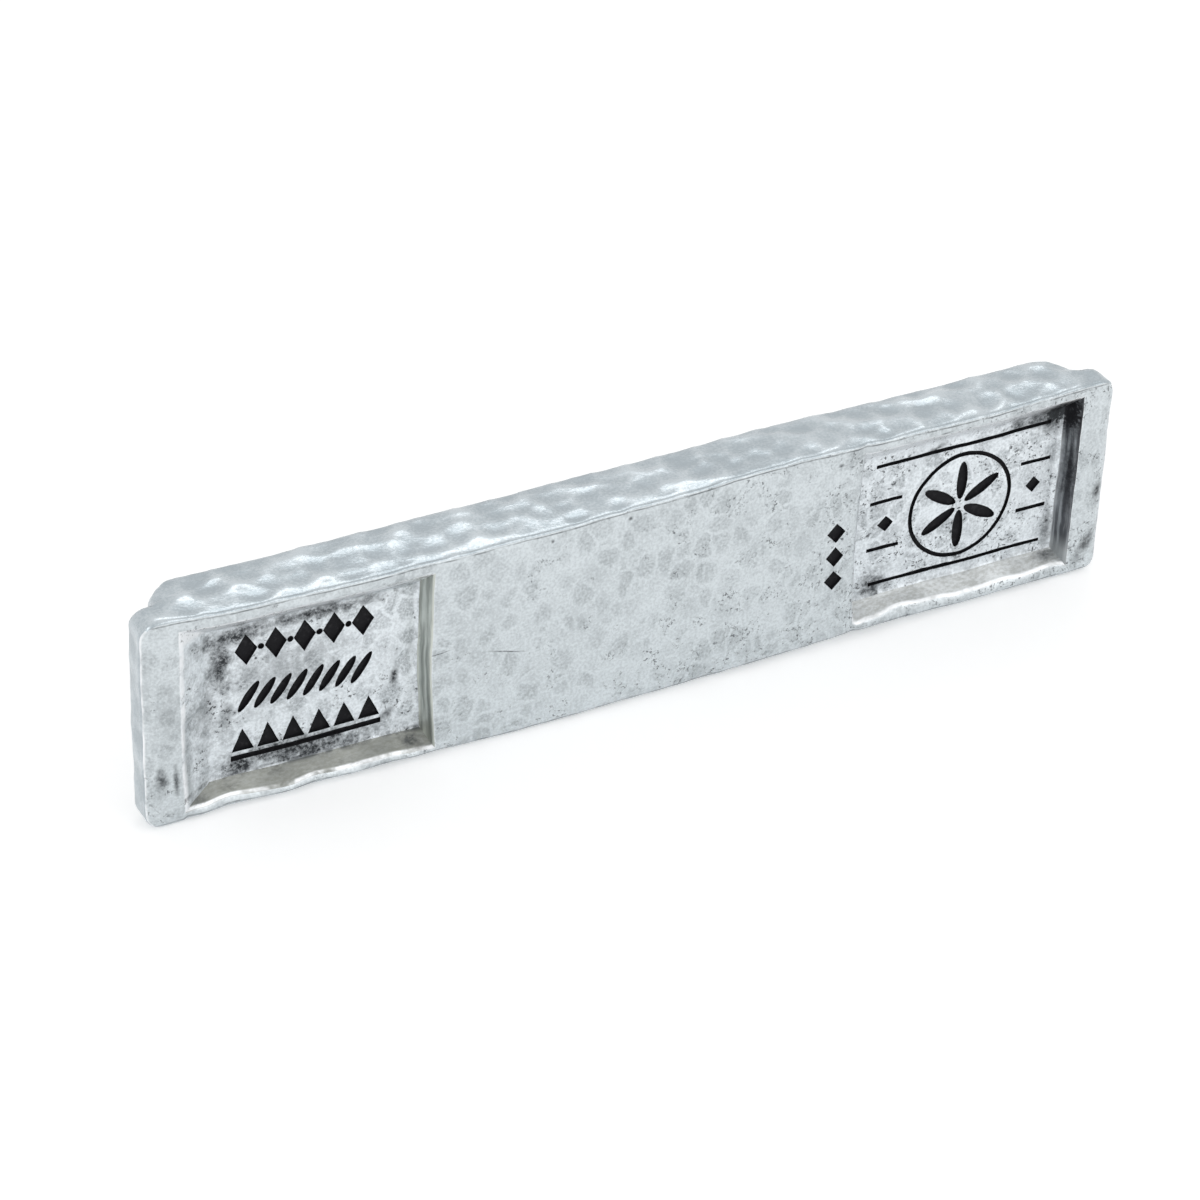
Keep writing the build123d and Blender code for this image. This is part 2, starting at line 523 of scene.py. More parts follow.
def edge_share(place):
    """1 well away from the bar's long edges and ends, and less on them, so they stay straight."""
    from_edge = max(min(place.y - FACE_END_Y, BACK_Y - place.y), min(place.z, WIDTH - place.z))
    from_end = ROOT_X - abs(place.x)
    by_edge = EDGE_DENTS + (1 - EDGE_DENTS) * smooth(from_edge / EDGE_REACH)
    by_end = END_DENTS + (1 - END_DENTS) * smooth(from_end / END_REACH + 1)
    return by_edge * by_end


def blow_depth(along, across, side):
    """How much the hammer's nearest blow takes away at a point of one side, from 0 to 1."""
    along /= BLOW_SPREAD[0]
    across /= BLOW_SPREAD[1]
    deepest = 0.0
    for column in range(floor(along) - 1, floor(along) + 2):
        for row in range(floor(across) - 1, floor(across) + 2):
            stray = noise.cell_vector(Vector((column + 0.5, row + 0.5, side)))
            away = Vector((along - column - stray.x, across - row - stray.y)).length
            strength = WEAKEST_BLOW + (1 - WEAKEST_BLOW) * stray.z
            deepest = max(deepest, strength * (1 - (away / BLOW_REACH) ** 2))
    return deepest


def hammer(bm):
    """Dent the surface: deep on the sides, the ends and the back, hardly at all on the face."""
    unbent = bm.verts.layers.float_vector["unbent"]
    dent_depth = bm.verts.layers.float.new("dent")
    bm.normal_update()
    moves = []
    for vert in bm.verts:
        place = vert[unbent] * MM
        calm = face_share(place)
        x, y, z = place + noise.noise_vector(place / BLOW_STRAY_LENGTH) * BLOW_STRAY
        dent = vert.normal.x**2 * blow_depth(z, y, 0.5)
        dent += vert.normal.y**2 * blow_depth(x, z, 1.5)
        dent += vert.normal.z**2 * blow_depth(x, y, 2.5)
        swell = 0.5 + 0.5 * noise.noise(place / SWELL_LENGTH)
        vert[dent_depth] = dent
        deepest = SIDE_DENTS * edge_share(place) * (1 - calm) + FACE_DENTS * calm
        raised = 0.5 * max(0.0, vert.normal.z, abs(vert.normal.x))
        moves.append(vert.normal * deepest * (raised - dent - swell * SWELL))
    for vert, move in zip(bm.verts, moves):
        vert.co += move


def cast_ingot(materials):
    """The whole casting: blocked out, panelled, carved, bent and hammered."""
    bm = bmesh.new()
    block_out_bar(bm)
    for panel in PANELS.values():
        sink_panel(bm, panel)
    bm.normal_update()
    assign_finishes(bm)
    round_edges(bm)
    divide_to_cells(bm)
    bm = carve_marks(bm, materials)
    round_lug_corners(bm)
    round_back_corners(bm)
    bend_by_hand(bm)
    hammer(bm)
    piece = mesh_object("ingot_cast", bm, materials)
    piece.data.shade_smooth()
    piece.data.set_sharp_from_angle(angle=radians(50))
    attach(piece, "root")
    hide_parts("ingot")


def add(tree, kind, inputs, **settings):
    """A node with its settings, and its inputs either set or linked."""
    node = tree.nodes.new(kind)
    for name, value in settings.items():
        setattr(node, name, value)
    for name, value in inputs.items():
        if isinstance(value, bpy.types.NodeSocket):
            tree.links.new(value, node.inputs[name])
        else:
            node.inputs[name].default_value = value
    return node


def math(tree, operation, first, second=0.0):
    return add(tree, "ShaderNodeMath", {0: first, 1: second}, operation=operation).outputs[0]


def plus(tree, first, second):
    return math(tree, "ADD", first, second)


def minus(tree, first, second):
    return math(tree, "SUBTRACT", first, second)


def times(tree, first, second):
    return math(tree, "MULTIPLY", first, second)


def larger(tree, first, second):
    return math(tree, "MAXIMUM", first, second)


def apart(tree, first, second):
    """How far apart two values are."""
    return math(tree, "ABSOLUTE", minus(tree, first, second))


def split(tree, position):
    """The position's outputs X, Y and Z."""
    return add(tree, "ShaderNodeSeparateXYZ", {0: position}).outputs


def ramp(tree, value, start, stop):
    """A smooth step of a value, from 0 at one level to 1 at another."""
    inputs = {"Value": value, "From Min": start, "From Max": stop}
    return add(tree, "ShaderNodeMapRange", inputs, interpolation_type="SMOOTHSTEP").outputs[0]


def left_half(tree, parts):
    """1 in the left half of the bar and 0 in the right, from a place's X, Y and Z."""
    return ramp(tree, parts["X"], 5.0, -5.0)


def mix(tree, factor, first, second):
    """Two colours mixed, by the sockets that a colour mix uses."""
    node = add(tree, "ShaderNodeMix", {}, data_type="RGBA")
    sockets = {socket.identifier: socket for socket in node.inputs}
    for name, value in (("Factor_Float", factor), ("A_Color", first), ("B_Color", second)):
        if isinstance(value, bpy.types.NodeSocket):
            tree.links.new(value, sockets[name])
        else:
            sockets[name].default_value = value
    return next(socket for socket in node.outputs if socket.identifier == "Result_Color")


def noise_at(tree, position, size, detail=2.0, roughness=0.5):
    """Noise between 0 and 1, with its size in millimetres."""
    inputs = {"Vector": position, "Scale": 1.0 / size, "Detail": detail, "Roughness": roughness}
    return add(tree, "ShaderNodeTexNoise", inputs).outputs["Fac"]


def stretched(tree, position, lengths):
    """The position divided by a length on each axis, so that a pattern is drawn out that way."""
    inputs = {0: position, 1: tuple(1 / length for length in lengths)}
    return add(tree, "ShaderNodeVectorMath", inputs, operation="MULTIPLY").outputs[0]


def strayed(tree, position, size, reach):
    """The position moved about by noise, so that a pattern has no straight lines."""
    inputs = {"Vector": position, "Scale": 1.0 / size, "Detail": 1.0}
    stray = add(tree, "ShaderNodeTexNoise", inputs).outputs["Color"]
    inputs = {0: stray, 1: (reach, reach, reach), 2: position}
    return add(tree, "ShaderNodeVectorMath", inputs, operation="MULTIPLY_ADD").outputs[0]


def new_group(name, inputs, outputs):
    """An empty shader node group with a position and number inputs, and number outputs."""
    tree = bpy.data.node_groups.new(name, "ShaderNodeTree")
    tree.interface.new_socket("Position", in_out="INPUT", socket_type="NodeSocketVector")
    for label, value in inputs.items():
        socket = tree.interface.new_socket(label, in_out="INPUT", socket_type="NodeSocketFloat")
        socket.default_value = value
    for label in outputs:
        tree.interface.new_socket(label, in_out="OUTPUT", socket_type="NodeSocketFloat")
    entry = tree.nodes.new("NodeGroupInput")
    leave = tree.nodes.new("NodeGroupOutput")
    return tree, entry.outputs, leave.inputs


def make_dimple_group():
    """Worn-down hammer dimples: rounded grey patches parted by a pale network."""
    tree, given, result = new_group("dimple_patches", {"Size": 2.4}, ["Patch", "Height"])
    position = given["Position"]
    scale = math(tree, "DIVIDE", 1.0, given["Size"])
    crooked = stretched(tree, strayed(tree, position, 1.8, 1.3), (1.0, 1.0, 1.25))
    cells = {"Vector": crooked, "Scale": scale, "Randomness": 0.9}
    border = add(tree, "ShaderNodeTexVoronoi", cells, feature="DISTANCE_TO_EDGE")
    from_border = ramp(tree, border.outputs["Distance"], 0.03, 0.14)
    middle = add(tree, "ShaderNodeTexVoronoi", cells)
    near_middle = ramp(tree, middle.outputs["Distance"], 0.8, 0.35)
    inside = times(tree, from_border, near_middle)
    pick = add(tree, "ShaderNodeSeparateColor", {0: middle.outputs["Color"]}).outputs[0]
    strength = ramp(tree, pick, -0.5, 0.9)
    height = split(tree, position)["Z"]
    coverage = plus(tree, noise_at(tree, position, 8.0), times(tree, height, 0.012))
    region = ramp(tree, coverage, 0.3, 0.52)
    speckle = ramp(tree, noise_at(tree, position, 0.3, 3.0, 0.7), 0.32, 0.66)
    patch = times(tree, times(tree, inside, strength), region)
    speckled = times(tree, patch, plus(tree, times(tree, speckle, 0.75), 0.25))
    tree.links.new(speckled, result["Patch"])
    tree.links.new(times(tree, inside, -1.0), result["Height"])
    return tree


def make_worn_and_highlit_edge_group():
    """Bright worn metal on the rounded rims, which lie just behind the face, and a painted
    highlight along them.
    """
    tree, given, result = new_group("worn_and_highlit_edges", {}, ["Mask"])
    position = given["Position"]
    depth = split(tree, position)["Y"]
    face = FACE_END_Y / MM
    front = ramp(tree, depth, face + 0.01, face + 0.1)
    back = ramp(tree, depth, face + 0.4, face + 0.2)
    patchy = ramp(tree, noise_at(tree, position, 2.2, 3.0, 0.6), 0.25, 0.6)
    tree.links.new(times(tree, times(tree, front, back), patchy), result["Mask"])
    return tree


def make_mottle_group():
    """Uneven brightness, from patches of a given size down to the metal's grain."""
    tree, given, result = new_group("mottle", {"Size": 4.0}, ["Shade", "Grain"])
    position = given["Position"]
    scale = math(tree, "DIVIDE", 1.0, given["Size"])
    inputs = {"Vector": position, "Scale": scale, "Detail": 5.0, "Roughness": 0.68}
    broad = add(tree, "ShaderNodeTexNoise", inputs).outputs["Fac"]
    grain = noise_at(tree, position, 0.28, 2.0, 0.6)
    both = plus(tree, times(tree, broad, 0.38), times(tree, grain, 0.62))
    tree.links.new(ramp(tree, both, 0.38, 0.62), result["Shade"])
    tree.links.new(grain, result["Grain"])
    return tree


def make_pinhole_group():
    """Black pinholes in clusters: specks, and short crooked hooks."""
    tree, given, result = new_group("pinholes", {"Amount": 0.5}, ["Mask"])
    position = given["Position"]
    clusters = noise_at(tree, position, 2.4, 3.0, 0.6)
    clusters = plus(tree, clusters, times(tree, given["Amount"], 0.25))
    clustered = ramp(tree, clusters, 0.57, 0.73)
    specks = ramp(tree, noise_at(tree, position, 0.36, 1.5, 0.6), 0.61, 0.68)
    line = apart(tree, noise_at(tree, position, 0.9, 0.0), 0.5)
    pieces = ramp(tree, noise_at(tree, strayed(tree, position, 1.0, 9.0), 0.6, 0.0), 0.54, 0.6)
    hooks = times(tree, ramp(tree, line, 0.04, 0.015), pieces)
    either = larger(tree, specks, times(tree, hooks, 0.8))
    tree.links.new(times(tree, clustered, either), result["Mask"])
    return tree


def make_smear_group():
    """Smeared patina: soft dark clouds with a torn edge."""
    tree, given, result = new_group("smears", {"Size": 6.0, "Amount": 0.5}, ["Mask"])
    position = given["Position"]
    scale = math(tree, "DIVIDE", 1.0, given["Size"])
    inputs = {"Vector": position, "Scale": scale, "Detail": 5.0, "Roughness": 0.62}
    clouds = add(tree, "ShaderNodeTexNoise", inputs).outputs["Fac"]
    grit = noise_at(tree, position, 0.3, 3.0, 0.7)
    both = plus(tree, times(tree, clouds, 0.7), times(tree, grit, 0.3))
    lifted = plus(tree, both, times(tree, given["Amount"], 0.3))
    tree.links.new(ramp(tree, lifted, 0.56, 0.84), result["Mask"])
    return tree


def make_smudge_and_shade_group():
    """One oval of grime, and in some places of painted shade, at a place on the face, leaning,
    and torn by noise.
    """
    sizes = {"X": 0.0, "Z": 0.0, "Length": 1.0, "Height": 1.0, "Lean": 0.0, "Tear": 2.4}
    tree, given, result = new_group("smudge_and_shade", sizes, ["Mask"])
    position = given["Position"]
    parts = split(tree, position)
    away = minus(tree, parts["X"], given["X"])
    above = minus(tree, parts["Z"], given["Z"])
    above = minus(tree, above, times(tree, away, given["Lean"]))
    along = math(tree, "DIVIDE", away, given["Length"])
    up = math(tree, "DIVIDE", above, given["Height"])
    radius = math(tree, "SQRT", plus(tree, times(tree, along, along), times(tree, up, up)))
    torn = minus(tree, noise_at(tree, position, 1.1, 5.0, 0.72), 0.5)
    level = plus(tree, radius, times(tree, torn, given["Tear"]))
    grit = ramp(tree, noise_at(tree, position, 0.4, 3.0, 0.7), 0.3, 0.6)
    grit = plus(tree, times(tree, grit, 0.45), 0.6)
    tree.links.new(times(tree, ramp(tree, level, 1.45, 0.0), grit), result["Mask"])
    return tree


def make_crack_group():
    """A broken dark line in the angle between each panel's floor and its lower wall."""
    tree, given, result = new_group("cracks", {}, ["Mask"])
    position = given["Position"]
    parts = split(tree, strayed(tree, position, 2.5, 0.35))
    left_angle, right_angle = (
        (panel["rim"][2] + panel["runs"][2] + CRACK_RISE) / MM for panel in PANELS.values()
    )
    on_left = left_half(tree, parts)
    angle = plus(tree, times(tree, on_left, left_angle - right_angle), right_angle)
    away = apart(tree, parts["Z"], angle)
    broken = ramp(tree, noise_at(tree, position, 2.0, 4.0, 0.7), 0.35, 0.6)
    strength = plus(tree, times(tree, on_left, 0.45), 0.35)
    line = times(tree, ramp(tree, away, 0.42, 0.08), broken)
    tree.links.new(times(tree, line, strength), result["Mask"])
    return tree


def make_streak_group():
    """Uneven streaks that run up and down a wall."""
    tree, given, result = new_group("streaks", {}, ["Streaks"])
    crooked = strayed(tree, given["Position"], 3.0, 0.3)
    drawn_out = stretched(tree, crooked, (0.5, 0.5, 9.0))
    tree.links.new(noise_at(tree, drawn_out, 1.0, 3.0, 0.55), result["Streaks"])
    return tree


GROUPS = {
    "dimples": make_dimple_group(),
    "worn_and_highlit_edges": make_worn_and_highlit_edge_group(),
    "mottle": make_mottle_group(),
    "pinholes": make_pinhole_group(),
    "smears": make_smear_group(),
    "smudge_and_shade": make_smudge_and_shade_group(),
    "cracks": make_crack_group(),
    "streaks": make_streak_group(),
}


def use(tree, group, position, **values):
    """A group placed in a material with its own values, and its outputs."""
    inputs = {"Position": position} | values
    return add(tree, "ShaderNodeGroup", inputs, node_tree=GROUPS[group]).outputs


def attribute(tree, name, output):
    """What the piece's mesh holds under a name."""
    return add(tree, "ShaderNodeAttribute", {}, attribute_name=name).outputs[output]


TIN_METALLIC = 0.85  # a little oxide lies on the metal


def start_tin(name, roughness):
    """A new metal material, its place on the unbent bar in millimetres, and its shader."""
    material = bpy.data.materials.new(name)
    material.use_nodes = True
    tree = material.node_tree
    shader = tree.nodes["Principled BSDF"]
    shader.inputs["Metallic"].default_value = TIN_METALLIC
    shader.inputs["Roughness"].default_value = roughness
    return material, tree, shader, attribute(tree, "unbent", "Vector")


def give_colour(tree, shader, colour):
    """Colour the surface."""
    tree.links.new(colour, shader.inputs["Base Color"])


def give_relief(tree, shader, height, distance):
    """Bump the surface by a height, over a distance in millimetres."""
    bump = add(tree, "ShaderNodeBump", {"Height": height, "Distance": distance * MM})
    tree.links.new(bump.outputs["Normal"], shader.inputs["Normal"])


def smudged_and_shaded(tree, position, ovals):
    """All of a finish's smudges of grime and patches of painted shade in one mask."""
    mask = 0.0
    for x, z, length, height, lean, tear, strength in ovals:
        places = {"X": x, "Z": z, "Length": length, "Height": height, "Lean": lean, "Tear": tear}
        one = times(tree, use(tree, "smudge_and_shade", position, **places)["Mask"], strength)
        mask = larger(tree, one, mask)
    return mask


# The colours: each finish's light and dark tin, with painted shade and painted highlights among
# them, and then the dirt
RIDGE_TIN = (0.56, 0.61, 0.64, 1)
# Darker tin for the dents of the hammered sides: painted shade
SHADED_DENT_TIN = (0.38, 0.43, 0.46, 1)
FACE_TIN = (0.67, 0.72, 0.745, 1)
FACE_GREY = (0.34, 0.37, 0.385, 1)
FLOOR_TIN = (0.80, 0.85, 0.885, 1)
FLOOR_GREY = (0.38, 0.41, 0.43, 1)
LEDGE_TIN = (0.55, 0.575, 0.585, 1)
LEDGE_GREY = (0.41, 0.425, 0.42, 1)
LEDGE_GRIME = (0.16, 0.165, 0.135, 1)
WALL_TIN = (0.62, 0.65, 0.605, 1)
WALL_GREY = (0.30, 0.32, 0.295, 1)
# Right panel's end wall: patina and painted shade, a lighter foot, and a painted highlight
SHADED_END_WALL_TIN = (0.32, 0.34, 0.36, 1)
SHADED_END_WALL_GREY = (0.08, 0.085, 0.095, 1)
DARK_WALL_FOOT = (0.36, 0.38, 0.39, 1)
END_WALL_RIDGE_HIGHLIGHT = (0.5, 0.53, 0.55, 1)
# Worn tin, with a painted highlight, for the rims; also painted light on the panels' top walls
WORN_AND_HIGHLIT_TIN = (0.88, 0.9, 0.92, 1)
PATINA = (0.035, 0.039, 0.043, 1)
BLACK = (0.01, 0.01, 0.012, 1)
RUBBED_BLACK = (0.03, 0.03, 0.033, 1)

# The smudges of grime and the patches of painted shade, each as: x, z, length, height, lean, tear
# # and strength, with the first four in millimetres on the unbent bar
FACE_SMUDGES = [
    (-48.4, 5.4, 0.6, 1.4, 0.0, 2.6, 0.85),
    (-47.1, 5.0, 0.3, 1.9, 0.0, 1.6, 0.85),
    (-47.8, 12.0, 1.2, 3.0, 0.0, 3.4, 0.25),
    (49.1, 9.3, 0.6, 0.9, 0.0, 1.2, 1.0),
    (48.3, 3.3, 1.1, 1.4, 1.0, 3.0, 0.8),
    (-15.1, 9.7, 2.0, 0.09, -0.27, 0.5, 0.8),
    (-21.6, 11.3, 1.0, 0.07, 0.1, 0.5, 0.9),
    (19.2, 19.9, 0.3, 0.2, 0.0, 1.0, 1.0),
    (-3.0, 20.5, 0.25, 0.2, 0.0, 1.0, 0.9),
    (-10.9, 20.4, 0.2, 0.2, 0.0, 1.0, 0.9),
    (30.6, 20.6, 0.8, 0.12, 0.1, 1.0, 0.8),
]
FLOOR_SMUDGES_AND_SHADE = [
    (-40.5, 17.2, 4.0, 1.2, 0.1, 2.6, 1.0),
    (-33.0, 17.6, 7.5, 0.7, 0.0, 2.8, 0.95),
    (-42.0, 14.6, 1.3, 3.4, 0.25, 2.8, 1.0),
    (-43.5, 10.0, 1.4, 4.0, 0.0, 3.4, 0.45),
    (-41.6, 8.5, 0.9, 2.6, 0.0, 3.0, 0.5),
    (-40.3, 3.2, 2.6, 1.5, 0.0, 3.0, 1.0),
    (-34.5, 3.4, 7.4, 1.8, -0.05, 3.2, 1.0),
    (-34.5, 2.6, 7.0, 0.22, 0.0, 2.2, 1.0),
    (-36.0, 12.8, 6.0, 4.0, 0.0, 4.2, 0.4),
    (-25.3, 8.6, 0.5, 1.1, 0.5, 1.2, 1.1),
    (-26.0, 4.6, 1.0, 0.6, 0.4, 2.4, 0.8),
    (-25.4, 18.7, 1.6, 0.16, 0.1, 1.4, 0.9),
    # The next two darken the right panel's top right corner: patina, and painted shade
    (44.6, 18.2, 2.4, 2.2, 0.0, 0.9, 1.4),
    (42.0, 17.8, 3.4, 1.0, 0.0, 3.2, 0.9),
    (31.0, 17.6, 1.2, 0.3, 0.3, 2.0, 0.9),
    (25.0, 4.0, 1.6, 1.6, 0.0, 3.4, 0.9),
    (44.9, 5.0, 0.7, 3.0, 0.0, 2.4, 0.6),
]
# Dark patches on the right panel's end wall: patina, and painted shade
END_WALL_PATINA_AND_SHADE = [
    (45.4, 18.4, 1.6, 3.4, 0.0, 0.6, 1.4),
    (46.0, 12.0, 0.6, 4.0, 0.0, 1.6, 0.8),
]
LEDGE_SMUDGES = [
    (-24.0, 1.6, 1.0, 0.6, 0.0, 2.4, 0.8),
    (-45.0, 1.4, 1.0, 0.5, 0.0, 2.4, 0.6),
    (44.5, 2.4, 1.5, 0.6, 0.0, 2.4, 0.7),
]

GRIME_LINES = (21.13, 0.4)  # how high they run along the face's top and bottom, in millimetres


def grime_line(tree, height, level, break_up):
    """A thin broken dark line along the bar, at a height in millimetres."""
    away = apart(tree, height, level)
    return times(tree, ramp(tree, away, 0.12, 0.02), ramp(tree, break_up, 0.3, 0.62))


def hammered_finish():
    """The sides, the ends and the back: darker grey in the dents as painted shade, pale on the
    ridges.
    """
    material, tree, shader, position = start_tin("tin_hammered", 0.27)
    dent = attribute(tree, "dent", "Fac")
    mottle = use(tree, "mottle", position, Size=2.0)
    shade = plus(tree, times(tree, dent, 0.8), times(tree, mottle["Shade"], 0.25))
    # Darker in the dents as painted shade, and with random tone from the mottle
    colour = mix(tree, ramp(tree, shade, 0.2, 0.95), RIDGE_TIN, SHADED_DENT_TIN)
    give_colour(tree, shader, colour)
    give_relief(tree, shader, mottle["Grain"], 0.02)
    return material


def face_finish():
    """The face: worn-down dimples, pinholes towards the right, and grime."""
    material, tree, shader, position = start_tin("tin_face", 0.36)
    parts = split(tree, position)
    dimples = use(tree, "dimples", position, Size=2.0)
    mottle = use(tree, "mottle", position, Size=4.0)
    shade = plus(tree, times(tree, mottle["Shade"], 0.4), times(tree, dimples["Patch"], 0.5))
    colour = mix(tree, shade, FACE_TIN, FACE_GREY)
    to_right = ramp(tree, parts["X"], -20.0, 30.0)
    low_down = ramp(tree, parts["Z"], 12.0, 2.0)
    amount = plus(tree, times(tree, to_right, 0.6), times(tree, low_down, 0.25))
    pins = use(tree, "pinholes", position, Amount=amount)["Mask"]
    grime = larger(tree, times(tree, pins, 0.7), smudged_and_shaded(tree, position, FACE_SMUDGES))
    broken = noise_at(tree, position, 2.6, 4.0, 0.7)
    for level in GRIME_LINES:
        line = grime_line(tree, parts["Z"], level, broken)
        grime = larger(tree, grime, times(tree, line, 0.7))
    # Worn rims, with a painted highlight on them
    colour = mix(tree, use(tree, "worn_and_highlit_edges", position)["Mask"], colour, WORN_AND_HIGHLIT_TIN)
    give_colour(tree, shader, mix(tree, grime, colour, PATINA))
    height = minus(tree, plus(tree, mottle["Grain"], dimples["Height"]), pins)
    give_relief(tree, shader, height, 0.025)
    return material


def floor_finish():
    """The panels' floors, and those of their walls that have no finish of their own."""
    material, tree, shader, position = start_tin("tin_panel_floor", 0.38)
    parts = split(tree, position)
    dimples = use(tree, "dimples", position, Size=1.9)
    mottle = use(tree, "mottle", position, Size=3.0)
    shade = plus(tree, times(tree, mottle["Shade"], 0.4), times(tree, dimples["Patch"], 0.75))
    colour = mix(tree, shade, FLOOR_TIN, FLOOR_GREY)
    on_left = left_half(tree, parts)
    amount = plus(tree, times(tree, on_left, 0.2), -0.12)
    smears = use(tree, "smears", position, Size=4.0, Amount=amount)["Mask"]
    # Grime on the floors, with painted shade in the right panel's top right corner
    darkening = larger(tree, times(tree, smears, 0.5), smudged_and_shaded(tree, position, FLOOR_SMUDGES_AND_SHADE))
    darkening = larger(tree, darkening, use(tree, "cracks", position)["Mask"])
    high_up = ramp(tree, parts["Z"], 18.2, 18.9)
    # The panels' top walls, which face down, are painted pale: painted light
    colour = mix(tree, times(tree, high_up, 0.85), colour, WORN_AND_HIGHLIT_TIN)
    # Worn rims, with a painted highlight on them
    colour = mix(tree, use(tree, "worn_and_highlit_edges", position)["Mask"], colour, WORN_AND_HIGHLIT_TIN)
    colour = mix(tree, darkening, colour, PATINA)
    amount = plus(tree, times(tree, on_left, -0.3), 0.55)
    amount = plus(tree, amount, times(tree, high_up, 0.5))
    pins = use(tree, "pinholes", position, Amount=amount)["Mask"]
    give_colour(tree, shader, mix(tree, times(tree, pins, 0.8), colour, BLACK))
    give_relief(tree, shader, minus(tree, mottle["Grain"], pins), 0.03)
    return material


def ledge_finish():
    """The panels' lower walls: yellowish grey, with dirt drawn out along the bar."""
    material, tree, shader, position = start_tin("tin_panel_ledge", 0.4)
    drawn_out = stretched(tree, position, (1.8, 1.0, 1.0))
    mottle = use(tree, "mottle", drawn_out, Size=1.5)
    colour = mix(tree, mottle["Shade"], LEDGE_TIN, LEDGE_GREY)
    parts = split(tree, position)
    on_left = left_half(tree, parts)
    colour = mix(tree, times(tree, on_left, 0.65), colour, LEDGE_GRIME)
    # Worn rims, with a painted highlight on them
    colour = mix(tree, use(tree, "worn_and_highlit_edges", position)["Mask"], colour, WORN_AND_HIGHLIT_TIN)
    amount = plus(tree, times(tree, on_left, 0.5), -0.3)
    smears = use(tree, "smears", drawn_out, Size=2.0, Amount=amount)["Mask"]
    darkening = larger(tree, times(tree, smears, 0.7), smudged_and_shaded(tree, position, LEDGE_SMUDGES))
    darkening = larger(tree, darkening, use(tree, "cracks", position)["Mask"])
    give_colour(tree, shader, mix(tree, darkening, colour, PATINA))
    give_relief(tree, shader, mottle["Grain"], 0.02)
    return material


def grimy_wall_finish():
    """The left panel's inner wall: yellowish grey, streaked."""
    material, tree, shader, position = start_tin("tin_grimy_wall", 0.42)
    streaks = use(tree, "streaks", position)["Streaks"]
    colour = mix(tree, ramp(tree, streaks, 0.36, 0.64), WALL_TIN, WALL_GREY)
    smears = use(tree, "smears", position, Size=3.0, Amount=0.05)["Mask"]
    give_colour(tree, shader, mix(tree, times(tree, smears, 0.8), colour, PATINA))
    give_relief(tree, shader, streaks, 0.04)
    return material


def dark_wall_finish():
    """The right panel's end wall: almost black from patina and painted shade, with a painted
    highlight on the ridge where it meets the floor.
    """
    material, tree, shader, position = start_tin("tin_dark_wall", 0.42)
    parts = split(tree, position)
    streaks = use(tree, "streaks", position)["Streaks"]
    # Almost black: patina, and painted shade
    colour = mix(tree, ramp(tree, streaks, 0.36, 0.62), SHADED_END_WALL_TIN, SHADED_END_WALL_GREY)
    # Lighter towards the foot
    colour = mix(tree, ramp(tree, parts["Z"], 5.0, 2.5), colour, DARK_WALL_FOOT)
    # A painted highlight on the ridge where the wall meets the floor
    ridge_x = 45.3
    ridge = ramp(tree, apart(tree, parts["X"], ridge_x), 0.2, 0.06)
    length = times(tree, ramp(tree, parts["Z"], 3.5, 5.0), ramp(tree, parts["Z"], 16.8, 15.8))
    colour = mix(tree, times(tree, ridge, length), colour, END_WALL_RIDGE_HIGHLIGHT)
    # Darker patches high on the wall and in its middle: patina, and painted shade
    darkening = smudged_and_shaded(tree, position, END_WALL_PATINA_AND_SHADE)
    give_colour(tree, shader, mix(tree, darkening, colour, BLACK))
    give_relief(tree, shader, streaks, 0.05)
    return material


def black_fill():
    """The black paste rubbed into the sunk marks."""
    material, tree, shader, position = start_tin("black_fill", 0.7)
    shader.inputs["Metallic"].default_value = 0.0
    shader.inputs["Specular IOR Level"].default_value = 0.15
    worn = noise_at(tree, position, 0.5, 3.0, 0.6)
    give_colour(tree, shader, mix(tree, ramp(tree, worn, 0.5, 0.8), BLACK, RUBBED_BLACK))
    give_relief(tree, shader, worn, 0.05)
    return material


def make_finishes():
    """The materials, in the order of the finishes."""
    made = {
        "hammered": hammered_finish(),
        "face": face_finish(),
        "panel_floor": floor_finish(),
        "panel_ledge": ledge_finish(),
        "grimy_wall": grimy_wall_finish(),
        "dark_wall": dark_wall_finish(),
        "black_fill": black_fill(),
    }
    return [made[finish] for finish in FINISHES]


def set_up_camera():
    """The photograph's viewpoint: above the bar's left end, looking along it and down."""
    camera = bpy.data.objects.new("camera", bpy.data.cameras.new("camera"))
    camera.data.lens = 117.42
    camera.data.sensor_width = 36.0
    camera.data.clip_start = 0.01
    place = Vector((-150.6, -261.8, 206.1)) * MM
    direction = Vector((0.4094, 0.7299, -0.5474))
    camera.matrix_world = (
        Matrix.Translation(place)
        @ direction.to_track_quat("-Z", "Y").to_matrix().to_4x4()
        @ Matrix.Rotation(radians(2.11), 4, "Z")
    )
    bpy.context.scene.collection.objects.link(camera)
    bpy.context.scene.camera = camera
    bpy.context.scene.view_settings.view_transform = "Standard"


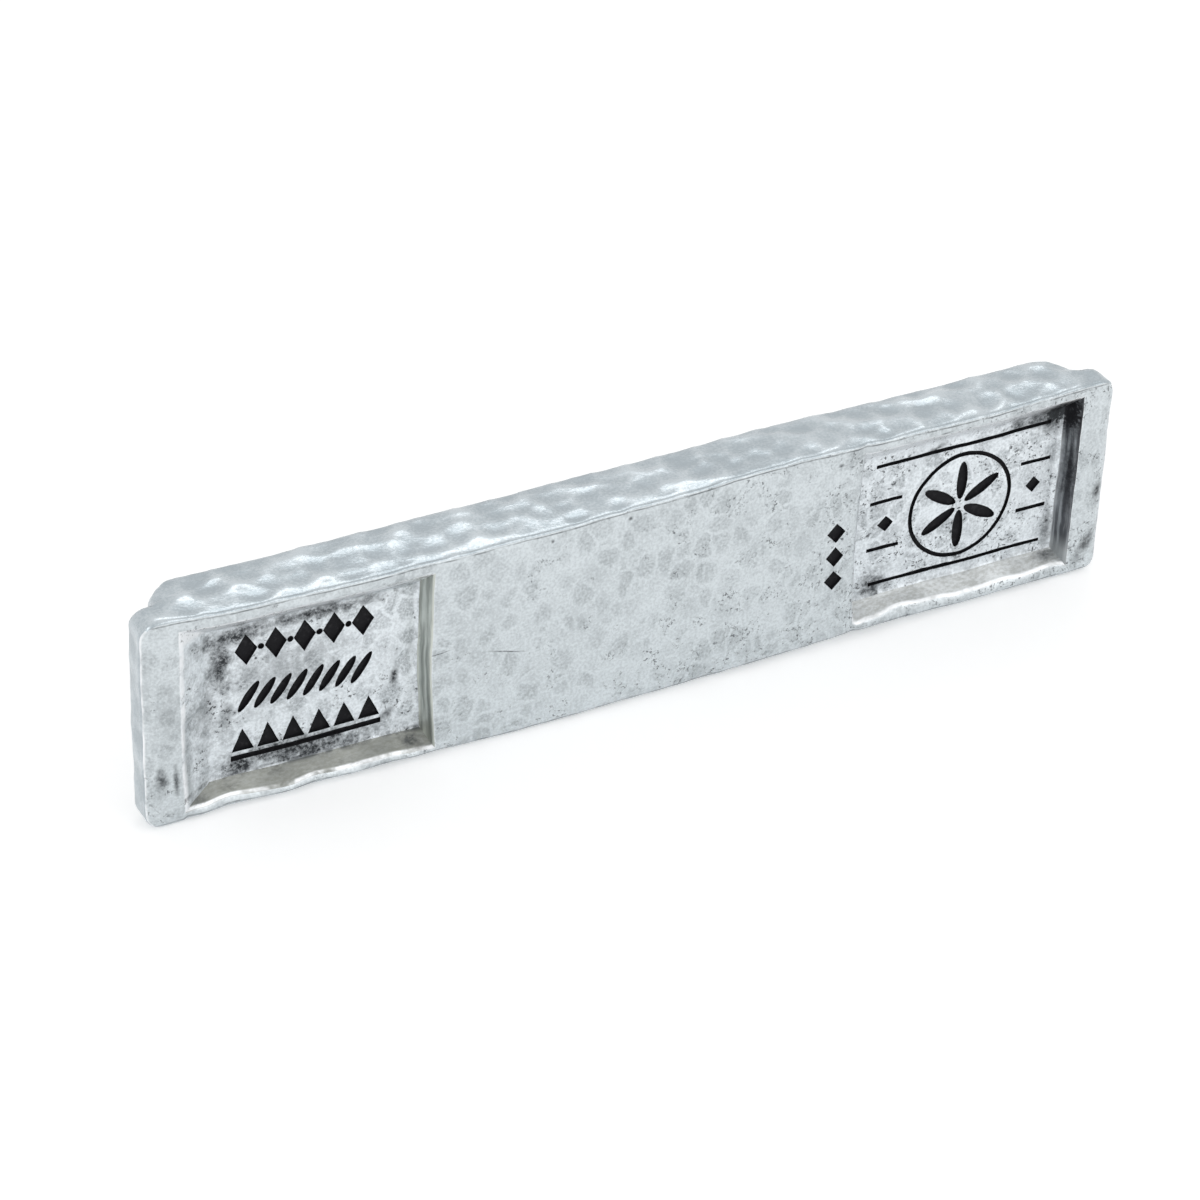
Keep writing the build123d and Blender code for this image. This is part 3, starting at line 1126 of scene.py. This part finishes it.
def softbox(name, place, size, power):
    """A lamp with its first size laid along the bar, that looks square at the bar's line."""
    light = bpy.data.lights.new(name, "AREA")
    light.shape = "RECTANGLE"
    light.size, light.size_y = size
    light.energy = power
    lamp = bpy.data.objects.new(name, light)
    lamp.location = place
    lamp.rotation_euler = Vector((0, -place[1], -place[2])).to_track_quat("-Z", "Y").to_euler()
    bpy.context.scene.collection.objects.link(lamp)


def rays_that_show_white(tree):
    """1 for the rays from the camera, a reflection or a clear thing, and 0 for the rest."""
    path = tree.nodes.new("ShaderNodeLightPath").outputs
    mirrored = larger(tree, path["Is Glossy Ray"], path["Is Transmission Ray"])
    return larger(tree, path["Is Camera Ray"], mirrored)


WORLD_LIGHT = 0.7  # the world's strength for the light that it gives, where 1 shows as white


def light_world():
    """A white studio, which lights the bar less than it shows."""
    world = bpy.data.worlds.new("studio")
    world.use_nodes = True
    tree = world.node_tree
    background = tree.nodes["Background"]
    background.inputs["Color"].default_value = (1, 1, 1, 1)
    shown = times(tree, rays_that_show_white(tree), 1.0 - WORLD_LIGHT)
    tree.links.new(plus(tree, shown, WORLD_LIGHT), background.inputs["Strength"])
    bpy.context.scene.world = world


def lay_floor():
    """A white floor that keeps the bar's shadow."""
    bm = bmesh.new()
    bmesh.ops.create_grid(bm, x_segments=1, y_segments=1, size=1.5)
    material = bpy.data.materials.new("floor")
    material.use_nodes = True
    tree = material.node_tree
    shader = tree.nodes["Principled BSDF"]
    shader.inputs["Base Color"].default_value = (0.9, 0.9, 0.9, 1)
    shader.inputs["Roughness"].default_value = 0.9
    shader.inputs["Specular IOR Level"].default_value = 0.0
    shader.inputs["Emission Strength"].default_value = 0.34
    tree.links.new(rays_that_show_white(tree), shader.inputs["Emission Color"])
    mesh_object("floor", bm, [material])


set_up_camera()
light_world()
lay_floor()
softbox("front_box", (0.19, -0.30, 0.29), (0.32, 0.12), 0.15)
softbox("low_box", (0.21, -0.43, 0.16), (0.32, 0.12), 0.12)
softbox("top_box", (0.16, 0.24, 0.40), (0.30, 0.10), 0.17)
softbox("left_box", (-0.45, -0.30, 0.25), (0.30, 0.30), 0.5)
cast_ingot(make_finishes())
